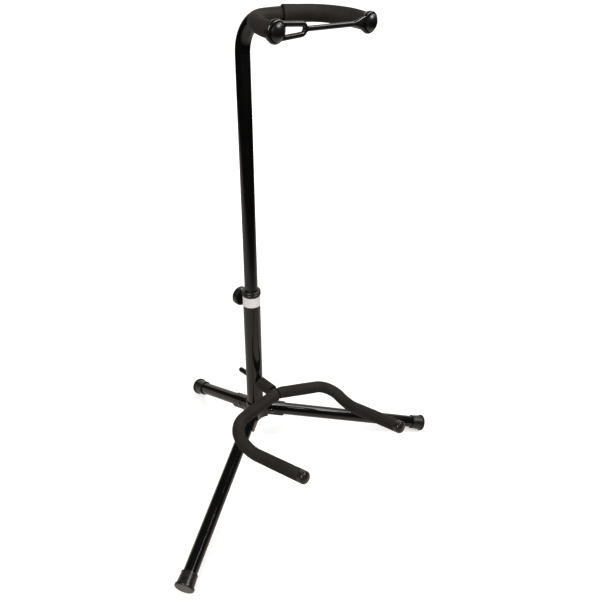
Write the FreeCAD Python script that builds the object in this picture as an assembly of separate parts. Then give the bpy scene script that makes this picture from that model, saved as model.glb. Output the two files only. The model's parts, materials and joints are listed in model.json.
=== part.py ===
import FreeCAD, Part
import math
import os

# Tubular guitar stand: a telescopic post on three folding legs, a padded neck yoke closed
# by a rubber strap, and a padded body cradle that turns on its stub rod.
# Lengths are in millimetres. The stand is drawn square to its post: Z runs up the post from
# the point where the leg axes cross, -Y is the front, and the whole is leaned back at the end.

V = FreeCAD.Vector

# Fits
running_gap = 0.05        # radial play of a turning or sliding fit
loose_gap = 0.3           # play between faces that only pass each other

# Post
post_od = 25.0
post_wall = 1.2
post_mouth = 11.2         # tube's mouth above the clamp
post_tail = 15.0
upper_od = 19.0
upper_wall = 1.2
upper_end = 100.0         # height of the upper tube's lower end
bend_start = 522.7
bend_radius = 43.2
bend_angle = 82.7
neck_run = 41.2           # straight tube from the bend to the yoke bar's axis
lean = 7.1                # post leans back from upright

# Guide bushes of the telescope
bush_head = 8.1
bush_skirt = 6.0
bush_bead = 1.1
bush_groove = 0.5
glide_length = 20.0
glide_lip = 3.0
glide_lip_width = 2.5

# Label band
label_gap = 1.0
label_height = 14.6
label_thickness = 0.2
label_wrap = 240.0

# Height clamp
clamp_height = 185.5
screw_od = 6.0
nut_od = 13.0
nut_height = 6.0
knob_od = 27.6
knob_height = 10.0
knob_bevel = 1.8
knob_gap = 0.5
knob_floor = 2.0

# Legs
leg_od = 19.0
leg_wall = 1.2
leg_slope = 16.0
leg_splay = 58.9          # front legs from straight ahead
leg_reach = 294.8         # along a front leg, from the crossing to the foot's outer end
fold_gap = 1.0            # between a leg's round end and the hub ring

# Hub
hub_wall = 2.0
hub_top = 10.0
hub_tail = 15.0
arm_wall = 1.5
arm_overhang = 20.5       # past the pivot
arm_cheek = 6.5           # below the leg's axis
arm_corner = 4.0
web_radius = 18.0
web_drop = 2.0

# Rivets
rivet_od = 6.0
rivet_head_od = 9.0
rivet_head = 2.2

# Feet
foot_grip = 16.2
foot_floor = 4.0
foot_wall = 1.5
foot_taper = 1.1          # the sleeve thickens towards its flange
foot_lip = 0.4
foot_lip_width = 1.5
foot_flange = 1.3
foot_flange_width = 3.5
foot_round = 1.5
foot_flat = 0.6           # tread worn level with the floor

# Neck yoke
yoke_rod_od = 8.0
yoke_back = 21.0          # half of the straight back
yoke_radius = 47.2
yoke_arm = 13.5
yoke_drop = 7.6
yoke_left_foam_od = 17.6
yoke_right_foam_od = 19.3
yoke_taper_od = 16.0
yoke_flare_od = 22.0
yoke_flare = 26.0
yoke_seam = 6.0           # seam of the two sleeves, left of the middle

# Yoke end caps
cap_flange_od = 22.0
cap_flange = 2.0
cap_neck_wall = 2.35
cap_head_od = 18.4
cap_head = 5.2
cap_edge = 0.8
cap_socket = 4.0          # depth of the rod past the middle of the strap's groove

# Neck strap
strap_od = 5.7
strap_slot = 34.3         # from the near ring's middle to the slot's round end
strap_slot_root = 7.2     # rails from the middle line, at the ring's middle
strap_slot_radius = 5.1
strap_web = 3.5           # fillet from the slot to the rod
strap_flare = 19.0        # fillet from the rod to the far ring
strap_flare_width = 17.0
strap_web_depth = 4.4     # both fillets are flatter than the cord
strap_play = 0.1

# Body cradle
cradle_height = 51.5
cradle_rod_od = 8.0
cradle_tee = 54.2         # from the post's axis to the bar's axis
cradle_tail = 36.0
cradle_middle_radius = 62.0
cradle_side_toe = 81.0    # toe angles are out from straight ahead
cradle_side_pitch = -7.2
cradle_side_run = 59.1
cradle_elbow_radius = 33.5
cradle_dip_toe = 3.0
cradle_dip_pitch = -21.2
cradle_rise_radius = 60.3
cradle_rise_toe = -2.8
cradle_rise_pitch = 10.4
cradle_left_run = 90.0    # last straight of each arm, to the end of its tip
cradle_right_run = 93.0
cradle_roll = 6.84        # turned on its stub, left arm up
cradle_left_foam_od = 17.3
cradle_right_foam_od = 17.9
cradle_seam = 0.8         # end of the left sleeve, right of the tee
stub_foam_od = 18.4
stub_foam_gap = 1.0
stub_foam_run = 28.0
tip_length = 10.5
tip_round = 4.0
tip_crown = 0.8
tip_socket = 5.0

origin = V(0, 0, 0)
across = V(1, 0, 0)
back = V(0, 1, 0)
up = V(0, 0, 1)


def lathe(outline):
    """Solid of revolution about Z; steps are (r, z) lines or (mid r, mid z, r, z) arcs."""
    edges = []
    here = V(outline[0][0], 0, outline[0][1])
    for step in outline[1:] + [outline[0]]:
        there = V(step[-2], 0, step[-1])
        if len(step) == 4:
            edges.append(Part.Arc(here, V(step[0], 0, step[1]), there).toShape())
        else:
            edges.append(Part.makeLine(here, there))
        here = there
    return Part.Face(Part.Wire(edges)).revolve(origin, up, 360)


def dome(radius, base, height):
    """Arc step of a ball cap from the given radius at base up to its crown on the axis."""
    ball = (radius ** 2 + height ** 2) / (2 * height)
    half = math.atan2(radius, ball - height) / 2
    return (ball * math.sin(half), base + height - ball + ball * math.cos(half), 0, base + height)


def aimed(shape, base, direction):
    """The shape with its own Z axis laid along direction and its origin at base."""
    placed = shape.copy()
    placed.Placement = FreeCAD.Placement(base, FreeCAD.Rotation(up, direction))
    return placed


def tube(radius, length, base, direction):
    return Part.makeCylinder(radius, length, base, direction)


def heading(side, toe, pitch):
    """Unit vector: toe degrees out to one side from straight ahead, pitch degrees up."""
    toe = math.radians(toe)
    pitch = math.radians(pitch)
    return V(side * math.sin(toe) * math.cos(pitch), -math.cos(toe) * math.cos(pitch), math.sin(pitch))


def trace(start, headings, radii, runs):
    """Edges of straight runs joined by tangent arcs, and the end point."""
    edges = []
    here = start
    for i, ahead in enumerate(headings):
        if i:
            before = headings[i - 1]
            turn = before.getAngle(ahead)
            inward = (ahead - before * before.dot(ahead)).normalize()
            centre = here + inward * radii[i - 1]
            bow = [centre + (before * math.sin(a) - inward * math.cos(a)) * radii[i - 1]
                   for a in (turn / 2, turn)]
            edges.append(Part.Arc(here, bow[0], bow[1]).toShape())
            here = bow[1]
        if runs[i]:
            there = here + ahead * runs[i]
            edges.append(Part.makeLine(here, there))
            here = there
    return edges, here


def swept(edges, radius):
    first = edges[0]
    ring = Part.makeCircle(radius, first.valueAt(first.FirstParameter), first.tangentAt(first.FirstParameter))
    return Part.Wire(edges).makePipeShell([Part.Wire([ring])], True, False)


# Derived sizes of the post
post_top = clamp_height + post_mouth
post_r = post_od / 2
post_bore = post_r - post_wall
upper_r = upper_od / 2
guide_bore = upper_r + running_gap
screw_r = screw_od / 2
screw_hole = screw_r + running_gap
stub_r = cradle_rod_od / 2
stub_centre = V(0, 0, cradle_height)

# Lower post tube, open at both ends, with the clamp's hole and the stub's cross hole
post_lower_tube = tube(post_r, post_tail + post_top, V(0, 0, -post_tail), up)
post_lower_tube = post_lower_tube.cut(tube(post_bore, post_tail + post_top, V(0, 0, -post_tail), up))
post_lower_tube = post_lower_tube.cut(tube(screw_hole, post_od, V(0, 0, clamp_height), back))
post_lower_tube = post_lower_tube.cut(tube(stub_r + running_gap, 2 * post_od, V(0, -post_od, cradle_height), back))

# Collar bush at the mouth of the lower tube: a skirt inside and two beads above
head_top = post_top + bush_head
bead_r = post_r + bush_bead
waist_r = post_r - bush_groove
waist = post_top + bush_head / 2
collar_bush = lathe([
    (guide_bore, post_top - bush_skirt),
    (post_bore, post_top - bush_skirt),
    (post_bore, post_top),
    (post_r, post_top),
    (bead_r, (post_top + waist) / 2, waist_r, waist),
    (bead_r, (waist + head_top) / 2, waist_r, head_top),
    (guide_bore, head_top),
])

# Label band round the front of the lower tube
label_top = post_top - label_gap
label_band = Part.makePolygon([
    V(post_r, 0, label_top - label_height),
    V(post_r + label_thickness, 0, label_top - label_height),
    V(post_r + label_thickness, 0, label_top),
    V(post_r, 0, label_top),
    V(post_r, 0, label_top - label_height),
])
label_band = Part.Face(label_band).revolve(origin, up, label_wrap)
label_band.rotate(origin, up, -90 - label_wrap / 2)

# Clamp on the back of the post: welded nut, screw against the upper tube, round knob
nut_face = post_r + nut_height
clamp_nut = tube(nut_od / 2, nut_face, V(0, 0, clamp_height), back)
clamp_nut = clamp_nut.cut(tube(post_r, 2 * nut_od, V(0, 0, clamp_height - nut_od), up))
clamp_nut = clamp_nut.cut(tube(screw_hole, 2 * nut_face, V(0, 0, clamp_height), back))

knob_face = nut_face + knob_gap
knob_back = knob_face + knob_height
screw_end = knob_back - knob_floor - loose_gap
screw_tip = upper_r + running_gap
clamp_screw = tube(screw_r, screw_end - screw_tip, V(0, screw_tip, clamp_height), back)

knob_r = knob_od / 2
clamp_knob = aimed(lathe([
    (screw_hole, knob_face),
    (knob_r - knob_bevel, knob_face),
    (knob_r, knob_face + knob_bevel),
    (knob_r, knob_back - knob_bevel),
    (knob_r - knob_bevel, knob_back),
    (0, knob_back),
    (0, knob_back - knob_floor),
    (screw_hole, knob_back - knob_floor),
]), V(0, 0, clamp_height), back)

# Upper post tube: straight, bent forward over the top, cut to sit on the yoke bar
neck_edges, yoke_centre = trace(
    V(0, 0, upper_end),
    [up, heading(1, 0, 90 - bend_angle)],
    [bend_radius],
    [bend_start - upper_end, neck_run],
)
neck_heading = heading(1, 0, 90 - bend_angle)
yoke_rod_r = yoke_rod_od / 2
yoke_rod_cut = tube(yoke_rod_r, 2 * upper_od, yoke_centre - across * upper_od, across)
upper_post_tube = swept(neck_edges, upper_r).cut(swept(neck_edges, upper_r - upper_wall)).cut(yoke_rod_cut)

# Glide plug: a bush on the upper tube's lower end that slides in the lower tube
glide_r = post_bore - running_gap
glide_base = upper_end - loose_gap - glide_lip
glide_plug = lathe([
    (guide_bore - glide_lip_width, glide_base),
    (glide_r, glide_base),
    (glide_r, upper_end + glide_length),
    (guide_bore, upper_end + glide_length),
    (guide_bore, upper_end - loose_gap),
    (guide_bore - glide_lip_width, upper_end - loose_gap),
])

# Legs: where each one points, and where the leaned stand finds its floor
leg_r = leg_od / 2
pivot_radius = post_r + hub_wall + fold_gap + leg_r
slope = math.radians(leg_slope)
tilt = math.radians(lean)
sleeve_r = leg_r + foot_wall
flange_r = sleeve_r + foot_taper + foot_flange


def leg_heading(azimuth):
    azimuth = math.radians(azimuth)
    return V(math.cos(azimuth) * math.cos(slope), math.sin(azimuth) * math.cos(slope), -math.sin(slope))


def floor_slope(ahead):
    """How far a leg falls below level once the stand is leaned back."""
    return math.asin(ahead.y * math.sin(tilt) - ahead.z * math.cos(tilt))


leg_headings = {
    "rear": leg_heading(90),
    "left": leg_heading(-90 - leg_splay),
    "right": leg_heading(-90 + leg_splay),
}
front_fall = floor_slope(leg_headings["left"])
rear_fall = floor_slope(leg_headings["rear"])
rim_r = flange_r - foot_round
floor_drop = (leg_reach - foot_round) * math.sin(front_fall) + rim_r * math.cos(front_fall) + foot_round
rear_reach = foot_round + (floor_drop - foot_round - rim_r * math.cos(rear_fall)) / math.sin(rear_fall)
leg_reaches = {"rear": rear_reach, "left": leg_reach, "right": leg_reach}
floor_level = foot_flat - floor_drop

# Foot profile, Z outward along the leg from the tube's end
corner = foot_round * math.sqrt(0.5)
foot_profile = [
    (leg_r, -foot_grip),
    (sleeve_r + foot_lip, -foot_grip),
    (sleeve_r + foot_lip, foot_lip_width - foot_grip),
    (sleeve_r, foot_lip_width - foot_grip),
    (sleeve_r + foot_taper, foot_floor - foot_flange_width),
    (flange_r, foot_floor - foot_flange_width),
    (flange_r, foot_floor - foot_round),
    (rim_r + corner, foot_floor - foot_round + corner, rim_r, foot_floor),
    (0, foot_floor),
    (0, 0),
    (leg_r, 0),
]

pivot_reach = pivot_radius / math.cos(slope)
arm_inner = leg_r + loose_gap
arm_outer = arm_inner + arm_wall
rivet_r = rivet_od / 2
rivet_head_r = rivet_head_od / 2
crown = dome(rivet_head_r, arm_outer, rivet_head)
rivet_profile = [
    (0, -arm_outer - rivet_head),
    (crown[0], -crown[1], rivet_head_r, -arm_outer),
    (rivet_r, -arm_outer),
    (rivet_r, arm_outer),
    (rivet_head_r, arm_outer),
    crown,
]

legs = {}
feet = {}
rivets = []
arms = []
channels = []
for name, ahead in leg_headings.items():
    pivot = ahead * pivot_reach
    sideways = up.cross(ahead).normalize()
    rise = ahead.cross(sideways)
    tube_end = leg_reaches[name] - foot_floor
    straight = tube_end - pivot_reach
    leg = aimed(lathe([
        (0, -leg_r),
        (leg_r * math.sqrt(0.5), -leg_r * math.sqrt(0.5), leg_r, 0),
        (leg_r, straight),
        (leg_r - leg_wall, straight),
        (leg_r - leg_wall, 0),
        ((leg_r - leg_wall) * math.sqrt(0.5), (leg_wall - leg_r) * math.sqrt(0.5), 0, leg_wall - leg_r),
    ]), pivot, ahead)
    legs[name] = leg.cut(tube(rivet_r + running_gap, 2 * leg_od, pivot - sideways * leg_od, sideways))
    feet[name] = aimed(lathe(foot_profile), ahead * tube_end, ahead)
    rivets.append(aimed(lathe(rivet_profile), pivot, sideways))

    # Hub arm: an inverted channel over the leg, its lower outer corner rounded
    arm_end = pivot_reach + arm_overhang
    arm = tube(arm_outer, arm_end, origin, ahead)
    frame = FreeCAD.Placement(origin, FreeCAD.Rotation(ahead, sideways, rise, "XYZ"))
    cheeks = Part.makeBox(arm_end, 2 * arm_outer, arm_cheek, V(0, -arm_outer, -arm_cheek))
    cheeks = cheeks.makeFillet(arm_corner, [e for e in cheeks.Edges
                                            if abs(e.CenterOfMass.x - arm_end) < 1e-6
                                            and abs(e.CenterOfMass.z + arm_cheek) < 1e-6])
    cheeks.Placement = frame
    lower = Part.makeBox(arm_end, 2 * arm_outer, arm_outer, V(0, -arm_outer, -arm_outer))
    lower.Placement = frame
    arms.append(arm.cut(lower).fuse(cheeks))
    slot = Part.makeBox(arm_end, 2 * arm_inner, 3 * arm_cheek, V(pivot_reach, -arm_inner, -3 * arm_cheek))
    slot.Placement = frame
    channels.append(tube(arm_inner, arm_end, pivot, ahead))
    channels.append(slot)
    channels.append(Part.makeSphere(arm_inner, pivot))
    channels.append(tube(arm_inner, 3 * arm_cheek, pivot, up * -1))
    channels.append(tube(rivet_r, 2 * arm_outer, pivot - sideways * arm_outer, sideways))

# Concave webs where neighbouring arms meet
webs = []
azimuths = sorted(math.atan2(h.y, h.x) for h in leg_headings.values())
for i, first in enumerate(azimuths):
    second = azimuths[i + 1] if i + 1 < len(azimuths) else azimuths[0] + 2 * math.pi
    half = (second - first) / 2
    middle = (first + second) / 2
    along = (arm_outer + web_radius) / math.tan(half)
    centre = (arm_outer + web_radius) / math.sin(half)
    base = -hub_tail
    corners = []
    for azimuth, hand in ((first, 1), (second, -1)):
        corners.append(V(along * math.cos(azimuth) - hand * arm_outer * math.sin(azimuth),
                         along * math.sin(azimuth) + hand * arm_outer * math.cos(azimuth), base))
    bow = V((centre - web_radius) * math.cos(middle), (centre - web_radius) * math.sin(middle), base)
    hub_axis = V(0, 0, base)
    web = Part.Wire([
        Part.makeLine(hub_axis, corners[0]),
        Part.Arc(corners[0], bow, corners[1]).toShape(),
        Part.makeLine(corners[1], hub_axis),
    ])
    webs.append(Part.Face(web).extrude(up * (hub_tail - web_drop)))

tripod_hub = tube(post_r + hub_wall, hub_tail + hub_top, V(0, 0, -hub_tail), up)
tripod_hub = tripod_hub.multiFuse(arms + webs)
for channel in channels:
    tripod_hub = tripod_hub.cut(channel)
tripod_hub = tripod_hub.cut(tube(post_r, 4 * arm_end, V(0, 0, -2 * arm_end), up)).removeSplitter()

# Neck yoke: a U of rod with caps on its ends
arm_heading = heading(1, 0, -yoke_drop)
yoke_tips = {}
yoke_halves = []
for side in (-1, 1):
    turns = [heading(side, 90, 0), arm_heading]
    edges, tip = trace(yoke_centre, turns, [yoke_radius], [yoke_back, yoke_arm + cap_socket])
    yoke_halves.append(swept(edges, yoke_rod_r))
    yoke_tips[side] = tip - arm_heading * cap_socket
yoke_bar = yoke_halves[0].fuse(yoke_halves[1]).removeSplitter()

# Foam sleeves of the yoke: the right one runs past the neck tube and flares over the left one
neck_notch = tube(upper_r + loose_gap, neck_run, yoke_centre + neck_heading * loose_gap, neck_heading * -1)
cap_neck = strap_od + 2 * strap_play
foam_arm = yoke_arm - cap_neck / 2 - cap_flange
left_foam_r = yoke_left_foam_od / 2
right_foam_r = yoke_right_foam_od / 2
seam = yoke_centre - across * yoke_seam
left_corner = yoke_centre - across * yoke_back
edges, tip = trace(left_corner, [heading(-1, 90, 0), arm_heading], [yoke_radius], [0, foam_arm])
taper = Part.makeCone(yoke_taper_od / 2, left_foam_r, yoke_back - yoke_seam, seam, across * -1)
yoke_sleeve_left = swept(edges, left_foam_r).fuse(taper).cut(yoke_bar).cut(neck_notch)
edges, tip = trace(seam, [heading(1, 90, 0), arm_heading], [yoke_radius], [yoke_seam + yoke_back, foam_arm])
flare = Part.makeCone(yoke_flare_od / 2, right_foam_r, yoke_flare, seam, across)
yoke_sleeve_right = swept(edges, right_foam_r).fuse(flare).cut(yoke_bar).cut(neck_notch)

# End caps: flange against the foam, neck for the strap, domed head, socket on the rod
head_r = cap_head_od / 2
flange_out = cap_flange_od / 2
neck_r = yoke_rod_r + cap_neck_wall
flange_back = -cap_neck / 2 - cap_flange
head_side = cap_neck / 2 + cap_edge
cap_profile = [
    (yoke_rod_r, flange_back),
    (flange_out - cap_edge, flange_back),
    (flange_out, flange_back + cap_edge),
    (flange_out, -cap_neck / 2 - cap_edge),
    (flange_out - cap_edge, -cap_neck / 2),
    (neck_r, -cap_neck / 2),
    (neck_r, cap_neck / 2),
    (head_r - cap_edge, cap_neck / 2),
    (head_r, head_side),
    dome(head_r, head_side, cap_head - cap_edge),
    (0, cap_socket),
    (yoke_rod_r, cap_socket),
]
yoke_cap_left = aimed(lathe(cap_profile), yoke_tips[-1], arm_heading)
yoke_cap_right = aimed(lathe(cap_profile), yoke_tips[1], arm_heading)

# Neck strap, drawn flat and then laid across the two cap necks
strap_r = strap_od / 2
hook_r = neck_r + strap_play + strap_r


def belt(big, small, span):
    """Round cord from a big circle at the origin, about a small one at span along X, and back."""
    lift = math.asin((big - small) / span)
    sector = math.pi - 2 * lift
    turn = Part.makeTorus(small, strap_r, V(span, 0, 0), up, -180, 180, math.degrees(sector))
    turn.rotate(V(span, 0, 0), up, math.degrees(-sector / 2))
    solids = [turn]
    for hand in (-1, 1):
        normal = V(math.sin(lift), hand * math.cos(lift), 0)
        start = normal * big
        finish = V(span, 0, 0) + normal * small
        solids.append(tube(strap_r, (finish - start).Length, start, finish - start))
    return solids[0].multiFuse(solids[1:])


strap_span = (yoke_tips[1] - yoke_tips[-1]).Length
far_ring = V(strap_span, 0, 0)
slot_loop = belt(strap_slot_root, strap_slot_radius, strap_slot)
slot_loop = slot_loop.cut(tube(hook_r, 2 * strap_od, V(0, 0, -strap_od), up))
rings = [Part.makeTorus(hook_r, strap_r, middle, up) for middle in (origin, far_ring)]
rod_from = strap_slot + strap_slot_radius
rod_to = strap_span - hook_r
strap_rod = tube(strap_r, rod_to - rod_from, V(rod_from, 0, 0), across)
fillet = Part.makeCone(strap_slot_radius, strap_r, strap_web, V(rod_from, 0, 0), across)
flare_r = strap_flare_width / 2
eye = Part.makeCone(strap_r, flare_r, strap_flare, V(rod_to - strap_flare, 0, 0), across)
eye = eye.cut(tube(hook_r, 2 * strap_od, far_ring - up * strap_od, up))
slab = Part.makeBox(strap_span, 2 * flare_r, strap_web_depth, V(0, -flare_r, -strap_web_depth / 2))
neck_strap = slot_loop.multiFuse(rings + [strap_rod, fillet.common(slab), eye.common(slab)]).removeSplitter()
strap_up = arm_heading.cross(across)
neck_strap.Placement = FreeCAD.Placement(
    yoke_tips[-1],
    FreeCAD.Rotation(across, strap_up, arm_heading, "XYZ"),
)

# Body cradle: bar from tip to tip, stub rod through the post, foam sleeves, round tips
tee = V(0, -cradle_tee, cradle_height)


def cradle_path(side, end_run):
    turns = [
        heading(side, 90, 0),
        heading(side, cradle_side_toe, cradle_side_pitch),
        heading(side, cradle_dip_toe, cradle_dip_pitch),
        heading(side, cradle_rise_toe, cradle_rise_pitch),
    ]
    radii = [cradle_middle_radius, cradle_elbow_radius, cradle_rise_radius]
    return trace(tee, turns, radii, [0, cradle_side_run, 0, end_run])


end_runs = {-1: cradle_left_run, 1: cradle_right_run}
tip_side = tip_length - tip_round - tip_crown
tip_bow = tip_round * math.sqrt(0.5)
cradle_halves = []
cradle_foam = {}
cradle_tips = {}
foam_od = {-1: cradle_left_foam_od, 1: cradle_right_foam_od}
for side in (-1, 1):
    foam_run = end_runs[side] - tip_length
    edges, end = cradle_path(side, foam_run + tip_socket)
    cradle_halves.append(swept(edges, stub_r))
    edges, end = cradle_path(side, foam_run)
    radius = foam_od[side] / 2
    cradle_foam[side] = swept(edges, radius)
    tip = lathe([
        (stub_r, 0),
        (radius, 0),
        (radius, tip_side),
        (radius - tip_round + tip_bow, tip_side + tip_bow, radius - tip_round, tip_side + tip_round),
        dome(radius - tip_round, tip_side + tip_round, tip_crown),
        (0, tip_socket),
        (stub_r, tip_socket),
    ])
    cradle_tips[side] = aimed(tip, end, heading(side, cradle_rise_toe, cradle_rise_pitch))
cradle_bar = cradle_halves[0].fuse(cradle_halves[1]).removeSplitter()

tail_r = stub_r * math.sqrt(0.5)
cradle_stub_rod = aimed(lathe([
    (0, 0),
    (stub_r, 0),
    (stub_r, cradle_tee + cradle_tail - stub_r),
    (tail_r, cradle_tee + cradle_tail - stub_r + tail_r, 0, cradle_tee + cradle_tail),
]), tee, back).cut(cradle_bar)

# The left sleeve runs on past the tee and butts on the right one
reach = 2 * (cradle_tee + cradle_side_run + cradle_left_run + cradle_right_run)
right_of_seam = Part.makeBox(reach, 2 * reach, 2 * reach, V(cradle_seam, -reach, -reach))
edges, end = cradle_path(1, 0)
overrun = swept(edges, cradle_left_foam_od / 2).cut(right_of_seam)
left_foam = cradle_foam[-1].fuse(overrun).removeSplitter()
right_foam = cradle_foam[1].common(right_of_seam)
cradle_sleeve_left = left_foam.cut(cradle_bar).cut(cradle_stub_rod)
cradle_sleeve_right = right_foam.cut(cradle_bar).cut(cradle_stub_rod)

stub_front = post_r + stub_foam_gap
cradle_sleeve_stub = tube(stub_foam_od / 2, stub_foam_run, V(0, -stub_front, cradle_height), back * -1)
cradle_sleeve_stub = cradle_sleeve_stub.cut(left_foam).cut(right_foam).cut(cradle_stub_rod)

cradle = {
    "cradle_stub_rod": cradle_stub_rod,
    "cradle_bar": cradle_bar,
    "cradle_sleeve_left": cradle_sleeve_left,
    "cradle_sleeve_right": cradle_sleeve_right,
    "cradle_sleeve_stub": cradle_sleeve_stub,
    "cradle_tip_left": cradle_tips[-1],
    "cradle_tip_right": cradle_tips[1],
}
for shape in cradle.values():
    shape.rotate(stub_centre, back, cradle_roll)

pieces = {
    "post_lower_tube": post_lower_tube,
    "tripod_hub": tripod_hub,
    "leg_rivets": Part.makeCompound(rivets),
    "rear_leg": legs["rear"],
    "left_leg": legs["left"],
    "right_leg": legs["right"],
    "rear_foot": feet["rear"],
    "left_foot": feet["left"],
    "right_foot": feet["right"],
    "collar_bush": collar_bush,
    "label_band": label_band,
    "clamp_nut": clamp_nut,
    "clamp_screw": clamp_screw,
    "clamp_knob": clamp_knob,
    "upper_post_tube": upper_post_tube,
    "glide_plug": glide_plug,
    "yoke_bar": yoke_bar,
    "yoke_sleeve_left": yoke_sleeve_left,
    "yoke_sleeve_right": yoke_sleeve_right,
    "yoke_cap_left": yoke_cap_left,
    "yoke_cap_right": yoke_cap_right,
    "neck_strap": neck_strap,
    **cradle,
}

# Lean the stand back, level the feet on the floor, and centre it over the origin
for shape in pieces.values():
    shape.rotate(origin, across, -lean)
below_floor = Part.makeBox(4 * leg_reach, 4 * leg_reach, leg_reach,
                           V(-2 * leg_reach, -2 * leg_reach, floor_level - leg_reach))
for name in ("rear_foot", "left_foot", "right_foot"):
    pieces[name] = pieces[name].cut(below_floor)
box = Part.makeCompound(list(pieces.values())).optimalBoundingBox(False)
shift = V(-(box.XMin + box.XMax) / 2, -(box.YMin + box.YMax) / 2, -floor_level)
os.makedirs("parts", exist_ok=True)
for name, shape in pieces.items():
    shape.translate(shift)
    shape.exportStep("parts/" + name + ".step")
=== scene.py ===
import json
import math
import bmesh
import bpy
import numpy as np
from mathutils import Matrix, Vector, noise


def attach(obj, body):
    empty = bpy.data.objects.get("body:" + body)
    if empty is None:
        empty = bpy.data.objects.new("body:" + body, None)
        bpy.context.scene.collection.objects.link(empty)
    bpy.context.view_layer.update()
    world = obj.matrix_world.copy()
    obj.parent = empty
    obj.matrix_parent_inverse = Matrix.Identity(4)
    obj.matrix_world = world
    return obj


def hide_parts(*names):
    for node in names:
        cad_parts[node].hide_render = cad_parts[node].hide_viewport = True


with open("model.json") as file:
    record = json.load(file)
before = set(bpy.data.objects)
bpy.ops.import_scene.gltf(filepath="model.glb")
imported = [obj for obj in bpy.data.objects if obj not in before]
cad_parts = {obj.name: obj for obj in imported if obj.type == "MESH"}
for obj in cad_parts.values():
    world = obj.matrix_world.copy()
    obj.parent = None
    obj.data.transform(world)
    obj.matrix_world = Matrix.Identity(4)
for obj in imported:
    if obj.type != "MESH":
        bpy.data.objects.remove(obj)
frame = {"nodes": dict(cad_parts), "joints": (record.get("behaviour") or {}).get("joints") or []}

nodes = frame["nodes"]
scene = bpy.context.scene
scene.view_settings.view_transform = "Standard"
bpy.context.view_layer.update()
print("frame loaded,", len(nodes), "nodes")

# The stand leans back, so pieces are drawn square to the post in millimetres and laid on it here
jointBy = {joint["name"]: joint for joint in frame["joints"]}
postUp = Vector(jointBy["yoke_swivel"]["axis"]).normalized()
postRear = Vector(jointBy["cradle_turn"]["axis"]).normalized()
postRight = Vector((1, 0, 0))
stubHeight = 51.5  # stub rod above the point where the leg axes cross
hubPoint = Vector(jointBy["cradle_turn"]["pos_m"]) - postUp * stubHeight / 1000


def onStand(p):
    return hubPoint + (postRight * p[0] + postRear * p[1] + postUp * p[2]) / 1000


# Camera where the photograph was taken from, square to the post: degrees and millimetres
shot = {"bearing": 51.5258, "away": 838.69, "height": 636.78, "swing": -4.7570, "pitch": -28.2378,
        "roll": 0.1518, "lens": 39.617, "sensor": 36}
bearing, pitch, roll = (math.radians(shot[key]) for key in ("bearing", "pitch", "roll"))
facing = bearing + math.radians(shot["swing"])
lookAhead = Vector((math.cos(facing) * math.cos(pitch), math.sin(facing) * math.cos(pitch),
                    math.sin(pitch)))
lookRight = Vector((math.sin(facing), -math.cos(facing), 0))
lookUp = lookRight.cross(lookAhead)
lookRight, lookUp = (lookRight * math.cos(roll) + lookUp * math.sin(roll),
                     lookUp * math.cos(roll) - lookRight * math.sin(roll))
lensData = bpy.data.cameras.new("shotCamera")
lensData.lens = shot["lens"]
lensData.sensor_width = shot["sensor"]
camera = bpy.data.objects.new("shotCamera", lensData)
turn = Matrix([(onStand(v) - hubPoint) * 1000 for v in (lookRight, lookUp, -lookAhead)]).transposed()
camera.rotation_euler = turn.to_euler()
camera.location = onStand((-shot["away"] * math.cos(bearing), -shot["away"] * math.sin(bearing),
                           shot["height"]))
scene.collection.objects.link(camera)
scene.camera = camera
print("camera set")


def linear(code):  # sRGB hex to linear
    out = []
    for i in (1, 3, 5):
        c = int(code[i:i + 2], 16) / 255
        out.append(c / 12.92 if c <= 0.04045 else ((c + 0.055) / 1.055) ** 2.4)
    return (*out, 1.0)


def addNode(tree, kind, sockets=None, **settings):  # sockets: name or number to value or output
    node = tree.nodes.new(kind)
    for key, value in settings.items():
        setattr(node, key, value)
    for key, value in (sockets or {}).items():
        if isinstance(value, bpy.types.NodeSocket):
            tree.links.new(value, node.inputs[key])
        else:
            node.inputs[key].default_value = value
    return node


def perMetre(mm):  # noise scale for a feature of that size
    return 1000 / mm


def emptyTree(owner):  # a material's nodes, or the world's, cleared
    owner.use_nodes = True
    owner.node_tree.nodes.clear()
    return owner.node_tree


def newMaterial(name):
    mat = bpy.data.materials.new(name)
    tree = emptyTree(mat)
    shader = addNode(tree, "ShaderNodeBsdfPrincipled")
    addNode(tree, "ShaderNodeOutputMaterial", {"Surface": shader.outputs[0]})
    place = addNode(tree, "ShaderNodeTexCoord").outputs["Object"]
    return mat, tree, shader, place


# Baked gloss enamel on steel tube: deep black, tight streaks, a very faint orange peel
enamelLook = {"deep": "#080707", "worn": "#0e0d0c", "peelMm": 1.8, "peel": 0.02, "peelDeep": 0.0002,
              "hazeMm": 22, "rough": (0.08, 0.14), "ior": 1.5}


def makeEnamel(look):
    mat, tree, shader, place = newMaterial("bakedBlackEnamel")
    haze = addNode(tree, "ShaderNodeTexNoise", {
        "Vector": place, "Scale": perMetre(look["hazeMm"]), "Detail": 5.0})
    shade = addNode(tree, "ShaderNodeValToRGB", {"Fac": haze.outputs["Fac"]})
    shade.color_ramp.elements[0].color = linear(look["deep"])
    shade.color_ramp.elements[1].color = linear(look["worn"])
    rough = addNode(tree, "ShaderNodeMapRange", {
        "Value": haze.outputs["Fac"], "From Min": 0.3, "From Max": 0.7,
        "To Min": look["rough"][0], "To Max": look["rough"][1]})
    peel = addNode(tree, "ShaderNodeTexNoise", {
        "Vector": place, "Scale": perMetre(look["peelMm"]), "Detail": 2.0})
    bump = addNode(tree, "ShaderNodeBump", {
        "Height": peel.outputs["Fac"], "Strength": look["peel"], "Distance": look["peelDeep"]})
    tree.links.new(shade.outputs["Color"], shader.inputs["Base Color"])
    tree.links.new(rough.outputs["Result"], shader.inputs["Roughness"])
    tree.links.new(bump.outputs["Normal"], shader.inputs["Normal"])
    shader.inputs["IOR"].default_value = look["ior"]
    return mat


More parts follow.
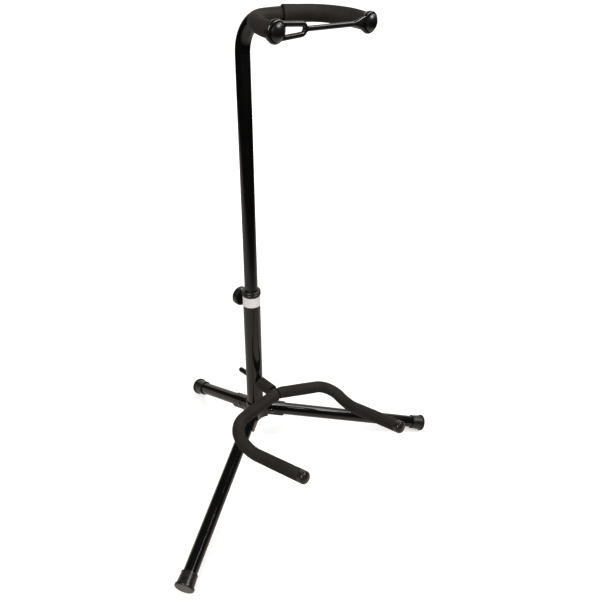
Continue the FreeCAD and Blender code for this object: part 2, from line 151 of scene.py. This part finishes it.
# Closed-cell rubber foam, skinned in the mould: warm brown-black, matt, with a pored and dented skin
# Its pores are about 0.3 mm and are drawn coarser so that they show
foamLook = {"dark": "#1b1714", "pale": "#2a241f", "mottleMm": 30, "ramp": (0.3, 0.72),
            "poreMm": 0.9, "pore": 0.30, "poreDeep": 0.0003,
            "skinMm": 5.0, "skin": 0.22, "skinDeep": 0.0012,
            "rough": (0.62, 0.86), "ior": 1.45, "specular": 0.30}


def makeFoam(look):
    mat, tree, shader, place = newMaterial("skinnedRubberFoam")
    mottle = addNode(tree, "ShaderNodeTexNoise", {
        "Vector": place, "Scale": perMetre(look["mottleMm"]), "Detail": 6.0, "Roughness": 0.6})
    shade = addNode(tree, "ShaderNodeValToRGB", {"Fac": mottle.outputs["Fac"]})
    for stop, at, code in zip(shade.color_ramp.elements, look["ramp"], (look["dark"], look["pale"])):
        stop.position = at
        stop.color = linear(code)
    pores = addNode(tree, "ShaderNodeTexNoise", {
        "Vector": place, "Scale": perMetre(look["poreMm"]), "Detail": 3.0})
    skin = addNode(tree, "ShaderNodeTexNoise", {
        "Vector": place, "Scale": perMetre(look["skinMm"]), "Detail": 4.0})
    dents = addNode(tree, "ShaderNodeBump", {
        "Height": skin.outputs["Fac"], "Strength": look["skin"], "Distance": look["skinDeep"]})
    grain = addNode(tree, "ShaderNodeBump", {
        "Height": pores.outputs["Fac"], "Strength": look["pore"], "Distance": look["poreDeep"],
        "Normal": dents.outputs["Normal"]})
    rough = addNode(tree, "ShaderNodeMapRange", {
        "Value": pores.outputs["Fac"], "To Min": look["rough"][0], "To Max": look["rough"][1]})
    tree.links.new(shade.outputs["Color"], shader.inputs["Base Color"])
    tree.links.new(rough.outputs["Result"], shader.inputs["Roughness"])
    tree.links.new(grain.outputs["Normal"], shader.inputs["Normal"])
    shader.inputs["IOR"].default_value = look["ior"]
    shader.inputs["Specular IOR Level"].default_value = look["specular"]
    return mat


# Dipped PVC on the yoke's end caps: wet-looking black with one soft highlight
capLook = {"dark": "#0d0d0d", "pale": "#141413", "flowMm": 9, "rough": (0.26, 0.31), "grainMm": 2.5,
           "grain": 0.05, "ior": 1.52}

# Moulded rubber tips of the cradle: close to the foam's brown-black, with a satin nose
tipLook = {"dark": "#1c1815", "pale": "#28231f", "flowMm": 8, "rough": (0.22, 0.30), "grainMm": 1.6,
           "grain": 0.10, "ior": 1.5}

# Moulded rubber on the feet: black and satin, a little dull where it is handled
footLook = {"dark": "#171513", "pale": "#262320", "flowMm": 6, "rough": (0.22, 0.32), "grainMm": 0.9,
            "grain": 0.25, "ior": 1.5}

# Moulded rubber strap: blacker and smoother than the feet, with thin bright edges
strapLook = {"dark": "#111010", "pale": "#191817", "flowMm": 7, "rough": (0.16, 0.22), "grainMm": 1.4,
             "grain": 0.012, "ior": 1.52}

# Moulded ABS on the bush and the knob: black, its spark-eroded grain drawn coarser so that it shows
mouldedLook = {"dark": "#131211", "pale": "#1f1d1b", "flowMm": 4, "rough": (0.22, 0.32), "grainMm": 0.8,
               "grain": 0.18, "ior": 1.53}


def makePolymer(name, look):
    mat, tree, shader, place = newMaterial(name)
    flow = addNode(tree, "ShaderNodeTexNoise", {
        "Vector": place, "Scale": perMetre(look["flowMm"]), "Detail": 5.0, "Roughness": 0.55})
    shade = addNode(tree, "ShaderNodeValToRGB", {"Fac": flow.outputs["Fac"]})
    for stop, at, code in zip(shade.color_ramp.elements, (0.32, 0.7), (look["dark"], look["pale"])):
        stop.position = at
        stop.color = linear(code)
    rough = addNode(tree, "ShaderNodeMapRange", {
        "Value": flow.outputs["Fac"], "From Min": 0.3, "From Max": 0.7,
        "To Min": look["rough"][0], "To Max": look["rough"][1]})
    grain = addNode(tree, "ShaderNodeTexNoise", {
        "Vector": place, "Scale": perMetre(look["grainMm"]), "Detail": 3.0})
    bump = addNode(tree, "ShaderNodeBump", {
        "Height": grain.outputs["Fac"], "Strength": look["grain"], "Distance": 0.0002})
    tree.links.new(shade.outputs["Color"], shader.inputs["Base Color"])
    tree.links.new(rough.outputs["Result"], shader.inputs["Roughness"])
    tree.links.new(bump.outputs["Normal"], shader.inputs["Normal"])
    shader.inputs["IOR"].default_value = look["ior"]
    return mat


# White vinyl film on the post: bare, slightly warm, a soft sheen and a few rubbed patches
labelLook = {"rubbed": "#f2eeea", "clean": "#f9f6f3", "rubMm": 9, "ramp": (0.35, 0.55),
             "rough": (0.5, 0.32), "ior": 1.5}


def makeVinyl(look):
    mat, tree, shader, place = newMaterial("whiteVinylFilm")
    rub = addNode(tree, "ShaderNodeTexNoise", {
        "Vector": place, "Scale": perMetre(look["rubMm"]), "Detail": 6.0})
    shade = addNode(tree, "ShaderNodeValToRGB", {"Fac": rub.outputs["Fac"]})
    for stop, at, code in zip(shade.color_ramp.elements, look["ramp"], (look["rubbed"], look["clean"])):
        stop.position = at
        stop.color = linear(code)
    rough = addNode(tree, "ShaderNodeMapRange", {
        "Value": rub.outputs["Fac"], "To Min": look["rough"][0], "To Max": look["rough"][1]})
    tree.links.new(shade.outputs["Color"], shader.inputs["Base Color"])
    tree.links.new(rough.outputs["Result"], shader.inputs["Roughness"])
    shader.inputs["IOR"].default_value = look["ior"]
    return mat


# Zinc-plated steel on the clamp screw: grey, with drawing marks
zincLook = {"dark": "#8b8a86", "pale": "#b3b1ab", "drawMm": 1.5, "rough": (0.25, 0.45)}

# Blackened steel on the rivets: dark metal with sharp glints where the heads were struck
rivetLook = {"dark": "#4a4543", "pale": "#6b6461", "drawMm": 1.2, "rough": (0.16, 0.30)}


def makeSteel(name, look):
    mat, tree, shader, place = newMaterial(name)
    draw = addNode(tree, "ShaderNodeTexNoise", {
        "Vector": place, "Scale": perMetre(look["drawMm"]), "Detail": 4.0})
    shade = addNode(tree, "ShaderNodeValToRGB", {"Fac": draw.outputs["Fac"]})
    shade.color_ramp.elements[0].color = linear(look["dark"])
    shade.color_ramp.elements[1].color = linear(look["pale"])
    rough = addNode(tree, "ShaderNodeMapRange", {
        "Value": draw.outputs["Fac"], "To Min": look["rough"][0], "To Max": look["rough"][1]})
    tree.links.new(shade.outputs["Color"], shader.inputs["Base Color"])
    tree.links.new(rough.outputs["Result"], shader.inputs["Roughness"])
    shader.inputs["Metallic"].default_value = 1.0
    return mat


enamel = makeEnamel(enamelLook)
foam = makeFoam(foamLook)
dippedPvc = makePolymer("dippedBlackPvc", capLook)
tipRubber = makePolymer("mouldedTipRubber", tipLook)
footRubber = makePolymer("mouldedFootRubber", footLook)
strapRubber = makePolymer("mouldedStrapRubber", strapLook)
mouldedAbs = makePolymer("grainedBlackAbs", mouldedLook)
whiteVinyl = makeVinyl(labelLook)
zinc = makeSteel("zincPlatedSteel", zincLook)
blackSteel = makeSteel("blackenedSteel", rivetLook)

finishes = {
    "post_lower_tube": enamel, "upper_post_tube": enamel, "tripod_hub": enamel, "leg_rivets": blackSteel,
    "rear_leg": enamel, "left_leg": enamel, "right_leg": enamel, "clamp_nut": enamel,
    "cradle_stub_rod": enamel, "yoke_bar": enamel, "cradle_bar": enamel,
    "rear_foot": footRubber, "left_foot": footRubber, "right_foot": footRubber,
    "collar_bush": mouldedAbs, "clamp_knob": mouldedAbs, "glide_plug": mouldedAbs,
    "label_band": whiteVinyl, "clamp_screw": zinc, "neck_strap": strapRubber,
    "yoke_cap_left": dippedPvc, "yoke_cap_right": dippedPvc,
    "cradle_tip_left": tipRubber, "cradle_tip_right": tipRubber,
    "yoke_sleeve_left": foam, "yoke_sleeve_right": foam,
    "cradle_sleeve_left": foam, "cradle_sleeve_right": foam, "cradle_sleeve_stub": foam,
}
for name, mat in finishes.items():
    nodes[name].data.materials.clear()
    nodes[name].data.materials.append(mat)
print("finishes on", len(finishes), "nodes")


# Runs and bends of the padded rods
def aim(side, toe, pitch):  # out to one side from straight ahead, and up, in degrees
    toe, pitch = math.radians(toe), math.radians(pitch)
    level = math.cos(pitch)
    return np.array((side * math.sin(toe) * level, -math.cos(toe) * level, math.sin(pitch)))


def follow(start, aims, radii, runs, step=1.0):  # centreline points about a step apart, in millimetres
    points = [np.array(start, float)]
    for i, ahead in enumerate(aims):
        if i:
            before = aims[i - 1]
            turn = math.acos(max(-1.0, min(1.0, float(before @ ahead))))
            inward = ahead - before * (before @ ahead)
            inward = inward / np.linalg.norm(inward)
            centre = points[-1] + inward * radii[i - 1]
            count = max(2, int(radii[i - 1] * turn / step))
            for k in range(1, count + 1):
                a = turn * k / count
                points.append(centre + (before * math.sin(a) - inward * math.cos(a)) * radii[i - 1])
        if runs[i]:
            count = max(2, int(runs[i] / step))
            first = points[-1]
            points += [first + ahead * runs[i] * k / count for k in range(1, count + 1)]
    return np.array(points)


def rolled(points, degrees):  # turned on the stub rod, left arm up
    a = math.radians(degrees)
    x, z = points[:, 0].copy(), points[:, 2] - stubHeight
    out = points.copy()
    out[:, 0] = x * math.cos(a) + z * math.sin(a)
    out[:, 2] = stubHeight - x * math.sin(a) + z * math.cos(a)
    return out


def soft(point, mm):  # smooth noise, about -1 to 1, for a feature of that size
    return noise.noise(Vector(point) / mm)


def addPiece(name, mesh):  # the finished bmesh as an object in the scene
    data = bpy.data.meshes.new(name)
    mesh.to_mesh(data)
    mesh.free()
    piece = bpy.data.objects.new(name, data)
    scene.collection.objects.link(piece)
    return piece


def settle(piece):  # keeps the shape that the modifiers give and drops them
    bpy.context.view_layer.update()
    done = bpy.data.meshes.new_from_object(piece.evaluated_get(bpy.context.evaluated_depsgraph_get()))
    piece.modifiers.clear()
    piece.data = done


def joinRings(mesh, a, b):  # a band of faces between two rings of points
    count = len(a)
    for k in range(count):
        mesh.faces.new((a[k], a[(k + 1) % count], b[(k + 1) % count], b[k]))


# What all the foam shares, in millimetres; an end is closed in steps of (share of the radius, depth)
foamShape = {"sides": 60, "broad": 0.7, "broadMm": 21, "fine": 0.3, "fineMm": 8, "fineShift": 40,
             "wander": 1.7, "wanderMm": 14, "bendGain": 40, "calmEnd": 4, "slantReach": 14,
             "closedEnd": [(0.82, 0.0), (0.5, 0.0)], "openEnd": [(0.84, 0.4), (0.80, 2.6), (0.5, 2.6)]}


# A foam sleeve: rings along the centreline, with soft dents, creases inside the bends and rounded ends
def foamSleeve(name, points, radiusAt, spec):
    shape = foamShape
    sides = shape["sides"]
    lip = spec["lip"]
    lengths = np.concatenate(([0], np.cumsum(np.linalg.norm(np.diff(points, axis=0), axis=1))))
    total = lengths[-1]
    tangents = np.gradient(points, axis=0)
    tangents /= np.linalg.norm(tangents, axis=1)[:, None]
    curl = np.gradient(tangents, axis=0) / np.gradient(lengths)[:, None]
    side = np.cross(tangents[0], (0, 0, 1.0))
    side /= np.linalg.norm(side)
    mesh = bmesh.new()
    rings = []
    for i, t in enumerate(tangents):
        side = side - t * (side @ t)
        side /= np.linalg.norm(side)
        other = np.cross(t, side)
        s = lengths[i]
        bend = np.linalg.norm(curl[i])
        inward = curl[i] / bend if bend > 1e-6 else np.zeros(3)
        fromEnd = min(s, total - s)
        ease = lip - math.sqrt(max(lip * lip - (lip - fromEnd) ** 2, 0)) if fromEnd < lip else 0.0
        ring = []
        for k in range(sides):
            a = 2 * math.pi * k / sides
            out = side * math.cos(a) + other * math.sin(a)
            r = radiusAt(s)
            p = points[i] + out * r
            dent = spec["dent"] * (shape["broad"] * soft(p, shape["broadMm"])
                                   + shape["fine"] * soft(p + shape["fineShift"], shape["fineMm"]))
            inside = max(0.0, float(out @ inward))
            wave = 2 * math.pi * s / spec["foldMm"] + shape["wander"] * soft(p, shape["wanderMm"])
            fold = 0.5 + 0.5 * math.cos(wave)
            dent -= spec["fold"] * min(1.0, bend * shape["bendGain"]) * inside ** 2 * fold
            for at, depth, wide, lean, toward in spec.get("creases", []):
                d = (s - at - lean * math.sin(a - toward)) / wide
                dent -= depth * math.exp(-d * d) * (0.55 + 0.45 * math.cos(a - toward))
            r = r + dent * min(1.0, fromEnd / shape["calmEnd"]) - ease
            reach = max(0.0, 1 - s / shape["slantReach"]) ** 2
            slant = spec.get("slant", 0) * float(out[1]) * reach  # its front reaches further
            ring.append(mesh.verts.new(onStand(points[i] + out * r + t * slant)))
        rings.append(ring)
    for a, b in zip(rings, rings[1:]):
        joinRings(mesh, a, b)
    for ring, end, isOpen in ((rings[0], 0, spec.get("mouth", False)), (rings[-1], -1, False)):
        middle = onStand(points[end])
        t = (onStand(points[end] + tangents[end]) - middle).normalized() * (1 if end == 0 else -1)
        loop = ring
        for share, sink in shape["openEnd" if isOpen else "closedEnd"]:
            fresh = [mesh.verts.new(middle + (v.co - middle) * share + t * sink / 1000) for v in ring]
            for k in range(sides):
                quad = (loop[k], fresh[k], fresh[(k + 1) % sides], loop[(k + 1) % sides])
                mesh.faces.new(quad if end == 0 else quad[::-1])
            loop = fresh
        mesh.faces.new(loop if end == 0 else loop[::-1])
    bmesh.ops.recalc_face_normals(mesh, faces=mesh.faces)
    piece = addPiece(name, mesh)
    piece.data.materials.append(foam)
    piece.data.shade_smooth()
    return piece


def carve(piece, start, ahead, radius, length):  # round cut along a rod or tube, in millimetres
    cutter = bmesh.new()
    bmesh.ops.create_cone(cutter, cap_ends=True, segments=72, radius1=radius / 1000, radius2=radius / 1000,
                          depth=length / 1000)
    first = onStand(start)
    run = (onStand(np.array(start) + ahead) - first).normalized()
    turn = Vector((0, 0, 1)).rotation_difference(run).to_matrix().to_4x4()
    cutter.transform(Matrix.Translation(first + run * length / 2000) @ turn)
    tool = addPiece("cutter", cutter)
    cut = piece.modifiers.new("cut", "BOOLEAN")
    cut.object = tool
    cut.operation = "DIFFERENCE"
    cut.solver = "EXACT"
    settle(piece)
    bpy.data.objects.remove(tool)


# Neck yoke padding, in millimetres and degrees
yoke = {"centre": (0, -78.58, 570.78), "back": 21.0, "bend": 47.2, "arm": 8.55, "capNeck": 4.95,
        "drop": 7.6, "seam": 6.0, "left": 8.7, "taper": 8.0, "taperFrom": 2, "taperRun": 22,
        "right": 9.45, "flare": 11.0, "flareRun": 34, "bulge": 0.5, "bulgeAt": 85, "bulgeWide": 22,
        "neckPitch": 7.3, "neckRadius": 9.65, "neckStart": 0.3, "neckRun": 24}
armAim = aim(1, 0, -yoke["drop"])


def leftYokeRadius(s):  # drawn in towards the seam
    t = max(0.0, min(1.0, (s - yoke["taperFrom"]) / yoke["taperRun"]))
    return yoke["taper"] + (yoke["left"] - yoke["taper"]) * t * t * (3 - 2 * t)


def rightYokeRadius(s):  # stretched over the left sleeve at the seam, a little fuller round the bend
    t = max(0.0, 1 - s / yoke["flareRun"])
    bulge = math.exp(-((s - yoke["bulgeAt"]) / yoke["bulgeWide"]) ** 2)
    return yoke["right"] + yoke["bulge"] * bulge + (yoke["flare"] - yoke["right"]) * t ** 1.2


seamPoint = np.array(yoke["centre"]) - np.array((yoke["seam"], 0, 0))
leftPath = follow(seamPoint, [aim(-1, 90, 0), armAim], [yoke["bend"]],
                  [yoke["back"] - yoke["seam"], yoke["arm"]])
rightPath = follow(seamPoint, [aim(1, 90, 0), armAim], [yoke["bend"]],
                   [yoke["back"] + yoke["seam"], yoke["arm"]])
yokeSpec = {"dent": 0.22, "fold": 0.35, "foldMm": 9.0}
yokeFoamLeft = foamSleeve("yokeFoamLeft", leftPath, leftYokeRadius, {**yokeSpec, "lip": 1.0})
yokeFoamRight = foamSleeve("yokeFoamRight", rightPath, rightYokeRadius,
                           {**yokeSpec, "lip": 0.6, "mouth": True, "slant": 5.0})
neckAim = aim(1, 0, yoke["neckPitch"])
neckStart = np.array(yoke["centre"]) + neckAim * yoke["neckStart"]
for piece, node in ((yokeFoamLeft, "yoke_sleeve_left"), (yokeFoamRight, "yoke_sleeve_right")):
    carve(piece, neckStart, -neckAim, yoke["neckRadius"], yoke["neckRun"])
    piece.data.shade_smooth()
    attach(piece, "yoke")
    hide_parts(node)
print("yoke padding made")

# Body cradle padding: side, dip and arm are (toe, pitch), ends are the left and right arms' runs
# stubSag is how far the stub's sleeve hangs at the post and at the tee
cradle = {"tee": 54.2, "middle": 62.0, "side": (81.0, -7.2), "sideRun": 59.1, "elbow": 33.5,
          "dip": (3.0, -21.2), "rise": 60.3, "arm": (-2.8, 10.4), "ends": {-1: 79.5, 1: 82.5}, "roll": 6.84,
          "seam": -3.5, "left": 8.57, "swell": 1.3, "swellAt": 5.5, "swellWide": 6,
          "over": 1.9, "overRun": 3.5, "right": 8.87, "pinch": 1.2, "pinchRun": 11,
          "stub": 9.12, "stubStart": 13.5, "stubRun": 28.0, "stubSag": (0.4, 2.2)}


def cradleLine(hand):
    aims = [aim(hand, *way) for way in ((90, 0), cradle["side"], cradle["dip"], cradle["arm"])]
    radii = [cradle["middle"], cradle["elbow"], cradle["rise"]]
    runs = [0, cradle["sideRun"], 0, cradle["ends"][hand]]
    return follow((0, -cradle["tee"], stubHeight), aims, radii, runs)


def leftCradleRadius(s):  # swollen towards its end, which is rounded over
    swell = math.exp(-((s - cradle["swellAt"]) / cradle["swellWide"]) ** 2)
    over = max(0.0, 1 - s / cradle["overRun"])
    return cradle["left"] + cradle["swell"] * swell - cradle["over"] * (1 - math.sqrt(1 - over * over))


def rightCradleRadius(s):  # pinched at its end
    t = max(0.0, 1 - s / cradle["pinchRun"])
    return cradle["right"] - cradle["pinch"] * t * t


def stubRadius(s):
    return cradle["stub"]


crossLine = np.concatenate((cradleLine(-1)[:0:-1], cradleLine(1)))  # from tip to tip
past = np.argmin(abs(crossLine[:, 0] - cradle["seam"]))
leftLine = rolled(crossLine[:past + 1][::-1], cradle["roll"])
rightLine = rolled(crossLine[past + 2:], cradle["roll"])  # a gap shows between the two
stubLine = follow((0, -cradle["stubStart"], stubHeight), [np.array((0, -1.0, 0))], [], [cradle["stubRun"]])
stubLine[:, 2] -= np.linspace(*cradle["stubSag"], len(stubLine))  # the loose sleeve hangs a little
cradleSpec = {"lip": 0.4, "dent": 0.26, "fold": 0.40, "foldMm": 8.0}
rightCreases = [  # place along the sleeve, depth, width, lean, and the side it is deepest on
    (6, 0.28, 2.0, 1.5, 2.0), (13, 0.22, 1.6, -1.2, 1.2),
    (19, 0.2, 2.2, 1.0, 2.6), (26, 0.14, 1.8, 1.6, 1.6)]
leftFoam = foamSleeve("cradleFoamLeft", leftLine, leftCradleRadius, cradleSpec)
rightFoam = foamSleeve("cradleFoamRight", rightLine, rightCradleRadius,
                       {**cradleSpec, "creases": rightCreases})
stubFoam = foamSleeve("cradleFoamStub", stubLine[::-1], stubRadius,
                      {**cradleSpec, "dent": 0.18, "lip": 0.7, "mouth": True})
for piece, node in ((leftFoam, "cradle_sleeve_left"), (rightFoam, "cradle_sleeve_right"),
                    (stubFoam, "cradle_sleeve_stub")):
    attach(piece, "cradle")
    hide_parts(node)
print("cradle padding made")

# Neck strap, moulded in one: the cords are remeshed together so the forks flow into each other
strap = {"cord": 2.85, "ring": 9.3, "slotRoot": 7.2, "slotSpan": 34.3, "slotEnd": 5.1, "web": 3.5,
         "flare": 18.5, "flareWide": 8.5, "eyeLap": 1.2, "sides": 28, "ringSteps": 72, "railSteps": 30,
         "endSteps": 12, "rodSteps": 120, "voxelMm": 0.38, "smooth": 0.5, "smoothRounds": 14}
capLine = follow(yoke["centre"], [aim(-1, 90, 0), armAim], [yoke["bend"]],
                 [yoke["back"], yoke["arm"] + yoke["capNeck"]])
strapTip = capLine[-1]
strapSpan = -2 * strapTip[0]


def strapPoint(u, v):  # across the yoke from the left cap, and up
    rise = np.array((0, -math.sin(math.radians(yoke["drop"])), math.cos(math.radians(yoke["drop"]))))
    return strapTip + np.array((u, 0, 0)) + rise * v


def ringLine(at):
    turns = (2 * math.pi * k / strap["ringSteps"] for k in range(strap["ringSteps"]))
    return [(at + strap["ring"] * math.cos(a), strap["ring"] * math.sin(a)) for a in turns]


def slotLine():  # out of the near ring, round the slot's end and back
    lift = math.asin((strap["slotRoot"] - strap["slotEnd"]) / strap["slotSpan"])
    out = (math.cos(lift), -math.sin(lift))
    rootSpot = (strap["slotRoot"] * math.sin(lift), strap["slotRoot"] * math.cos(lift))
    length = strap["slotSpan"] * math.cos(lift)
    first = math.sqrt(strap["ring"] ** 2 - strap["slotRoot"] ** 2)
    steps = np.linspace(first, length, strap["railSteps"])
    rail = [(rootSpot[0] + out[0] * d, rootSpot[1] + out[1] * d) for d in steps]
    end = []
    for k in range(1, 2 * strap["endSteps"]):
        a = (math.pi / 2 - lift) * (1 - k / strap["endSteps"])
        end.append((strap["slotSpan"] + strap["slotEnd"] * math.cos(a), strap["slotEnd"] * math.sin(a)))
    return rail + end + [(u, -v) for u, v in rail[::-1]]


def cordMesh(mesh, line, radii, closed):
    path = [onStand(strapPoint(u, v)) for u, v in line]
    ahead = (onStand(strapPoint(0, 0) + armAim) - onStand(strapPoint(0, 0))).normalized()
    turns = [2 * math.pi * k / strap["sides"] for k in range(strap["sides"])]
    rings = []
    for i, p in enumerate(path):
        before = path[i - 1] if i or closed else p
        after = path[(i + 1) % len(path)] if i + 1 < len(path) or closed else p
        across = (after - before).normalized().cross(ahead).normalized()
        wide = radii[i] / 1000
        thick = min(wide, strap["cord"] / 1000)
        rings.append([mesh.verts.new(p + across * math.cos(a) * wide + ahead * math.sin(a) * thick)
                      for a in turns])
    for a, b in zip(rings, rings[1:]):
        joinRings(mesh, a, b)
    if closed:
        joinRings(mesh, rings[-1], rings[0])
    else:
        mesh.faces.new(rings[0][::-1])
        mesh.faces.new(rings[-1])


strapMesh = bmesh.new()
for line, closed in ((ringLine(0), True), (ringLine(strapSpan), True), (slotLine(), False)):
    cordMesh(strapMesh, line, [strap["cord"]] * len(line), closed)
rodStart = strap["slotSpan"] + strap["slotEnd"]
rodEnd = strapSpan - strap["ring"] + strap["eyeLap"]
rodLine, rodRadii = [], []
for k in range(strap["rodSteps"] + 1):  # webbed at the slot and flared at the far ring
    u = rodStart + (rodEnd - rodStart) * k / strap["rodSteps"]
    web = max(0.0, min(1.0, 1 - (u - rodStart) / strap["web"]))
    eye = max(0.0, min(1.0, 1 - (rodEnd - u) / strap["flare"]))
    rodLine.append((u, 0.0))
    rodRadii.append(strap["cord"] + (strap["slotEnd"] - strap["cord"]) * web ** 1.3
                    + (strap["flareWide"] - strap["cord"]) * eye ** 1.25)
cordMesh(strapMesh, rodLine, rodRadii, False)
bmesh.ops.recalc_face_normals(strapMesh, faces=strapMesh.faces)
neckStrap = addPiece("neckStrap", strapMesh)
skin = neckStrap.modifiers.new("skin", "REMESH")
skin.mode = "VOXEL"
skin.voxel_size = strap["voxelMm"] / 1000
flow = neckStrap.modifiers.new("flow", "SMOOTH")
flow.factor = strap["smooth"]
flow.iterations = strap["smoothRounds"]
settle(neckStrap)
neckStrap.data.materials.clear()
neckStrap.data.materials.append(strapRubber)
neckStrap.data.shade_smooth()
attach(neckStrap, "strap")
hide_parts("neck_strap")
print("neck strap made,", len(neckStrap.data.vertices), "points")

# Floor card, pale and plain: white to the eye, a soft pool of light in reflections, a faint shadow on it
# Each pair is a value near and far; its reach is in metres from the stand, the pool's from the card's middle
floorLook = {"place": (0.08, 0.42, -0.0002), "radius": 6.0, "card": "#f4f4f3",
             "glow": (0.42, 1.0), "glowReach": (0.30, 0.85),
             "bounce": (0.30, 0.05), "bounceReach": (0.15, 0.50),
             "pool": (0.70, 0.0), "poolReach": (0.74, 1.50), "tint": "#fff3e8"}
floorMesh = bmesh.new()
bmesh.ops.create_circle(floorMesh, cap_ends=True, segments=96, radius=floorLook["radius"])
floorCard = addPiece("floorCard", floorMesh)
floorCard.location = floorLook["place"]
card = bpy.data.materials.new("paleCard")
tree = emptyTree(card)
ray = addNode(tree, "ShaderNodeLightPath")
place = addNode(tree, "ShaderNodeTexCoord").outputs["Object"]
fromPool = addNode(tree, "ShaderNodeVectorMath", {0: place}, operation="LENGTH")
standSpot = (-floorLook["place"][0], -floorLook["place"][1], 0)
fromStand = addNode(tree, "ShaderNodeVectorMath", {0: place, 1: standSpot}, operation="DISTANCE")
amount = {}
for key, away in (("glow", fromStand), ("bounce", fromStand), ("pool", fromPool)):
    near, far = floorLook[key + "Reach"]
    ramp = addNode(tree, "ShaderNodeMapRange", {
        "Value": away.outputs["Value"], "From Min": near, "From Max": far,
        "To Min": floorLook[key][0], "To Max": floorLook[key][1]}, interpolation_type="SMOOTHSTEP")
    amount[key] = ramp.outputs["Result"]
pale = addNode(tree, "ShaderNodeBsdfDiffuse", {"Color": linear(floorLook["card"])})
glow = addNode(tree, "ShaderNodeEmission", {"Color": (1, 1, 1, 1), "Strength": amount["glow"]})
white = addNode(tree, "ShaderNodeAddShader", {0: pale.outputs[0], 1: glow.outputs[0]})
bounce = addNode(tree, "ShaderNodeBsdfDiffuse", {"Color": amount["bounce"]})
pool = addNode(tree, "ShaderNodeEmission", {"Color": linear(floorLook["tint"]), "Strength": amount["pool"]})
shiny = addNode(tree, "ShaderNodeMixShader", {
    0: ray.outputs["Is Glossy Ray"], 1: bounce.outputs[0], 2: pool.outputs[0]})
seen = addNode(tree, "ShaderNodeMixShader", {
    0: ray.outputs["Is Camera Ray"], 1: shiny.outputs[0], 2: white.outputs[0]})
addNode(tree, "ShaderNodeOutputMaterial", {"Surface": seen.outputs[0]})
floorCard.data.materials.append(card)

# Back card, seen only in reflections: a glowing card, no lamp, that paints the reflection of a lit white
# wall into the enamel
backLook = {"place": (1.25, 1.42, 1.10), "wide": 3.0, "tall": 2.6, "light": 0.80, "tint": "#fff1e4"}
backMesh = bmesh.new()
bmesh.ops.create_grid(backMesh, x_segments=8, y_segments=6, size=0.5)
bmesh.ops.scale(backMesh, vec=(backLook["wide"], backLook["tall"], 1), verts=backMesh.verts)
backCard = addPiece("backCard", backMesh)
backCard.location = backLook["place"]
toStand = Vector((-backLook["place"][0], -backLook["place"][1], 0))
backCard.rotation_euler = toStand.to_track_quat("Z", "Y").to_euler()
backCard.visible_camera = False
backCard.visible_diffuse = False
backCard.visible_transmission = False
backCard.visible_shadow = False
glowingWallReflection = bpy.data.materials.new("glowingWallReflection")
tree = emptyTree(glowingWallReflection)
# Painted reflection: the card glows by itself, lit by no lamp, and only glossy rays see it
wallGlow = addNode(tree, "ShaderNodeEmission", {
    "Color": linear(backLook["tint"]), "Strength": backLook["light"]})
addNode(tree, "ShaderNodeOutputMaterial", {"Surface": wallGlow.outputs[0]})
backCard.data.materials.append(glowingWallReflection)

# Room: white to the camera, dim behind the lamps so that black enamel stays black
roomLook = {"ambient": 0.42, "warm": (1, 0.995, 0.985, 1), "gloss": 0.04}
world = bpy.data.worlds.new("studio")
scene.world = world
tree = emptyTree(world)
ray = addNode(tree, "ShaderNodeLightPath")
ambient = addNode(tree, "ShaderNodeBackground", {
    "Color": roomLook["warm"], "Strength": roomLook["ambient"]})
dim = addNode(tree, "ShaderNodeBackground", {"Color": (1, 1, 1, 1), "Strength": roomLook["gloss"]})
white = addNode(tree, "ShaderNodeBackground", {"Color": (1, 1, 1, 1), "Strength": 1.0})
shiny = addNode(tree, "ShaderNodeMixShader", {
    0: ray.outputs["Is Glossy Ray"], 1: ambient.outputs[0], 2: dim.outputs[0]})
seen = addNode(tree, "ShaderNodeMixShader", {
    0: ray.outputs["Is Camera Ray"], 1: shiny.outputs[0], 2: white.outputs[0]})
addNode(tree, "ShaderNodeOutputWorld", {"Surface": seen.outputs[0]})

# Soft boxes, in metres and watts
softBoxes = {
    "keyBox": {"place": (0.584, -0.917, 1.82), "target": (0, 0, 0.35), "size": (0.88, 0.42), "watts": 16.0},
    "leftBox": {"place": (-1.37, -0.37, 1.46), "target": (0, 0, 0.35), "size": (0.9, 0.9), "watts": 20.0},
    "rightBox": {"place": (1.36, -0.20, 1.87), "target": (0, -0.1, 0.55), "size": (0.8, 0.5), "watts": 7.0},
}
for name, box in softBoxes.items():
    lamp = bpy.data.lights.new(name, "AREA")
    lamp.shape = "RECTANGLE"
    lamp.size, lamp.size_y = box["size"]
    lamp.energy = box["watts"]
    holder = bpy.data.objects.new(name, lamp)
    holder.location = box["place"]
    toTarget = Vector(box["target"]) - Vector(box["place"])
    holder.rotation_euler = toTarget.to_track_quat("-Z", "Y").to_euler()
    scene.collection.objects.link(holder)
print("stage and", len(softBoxes), "soft boxes set")
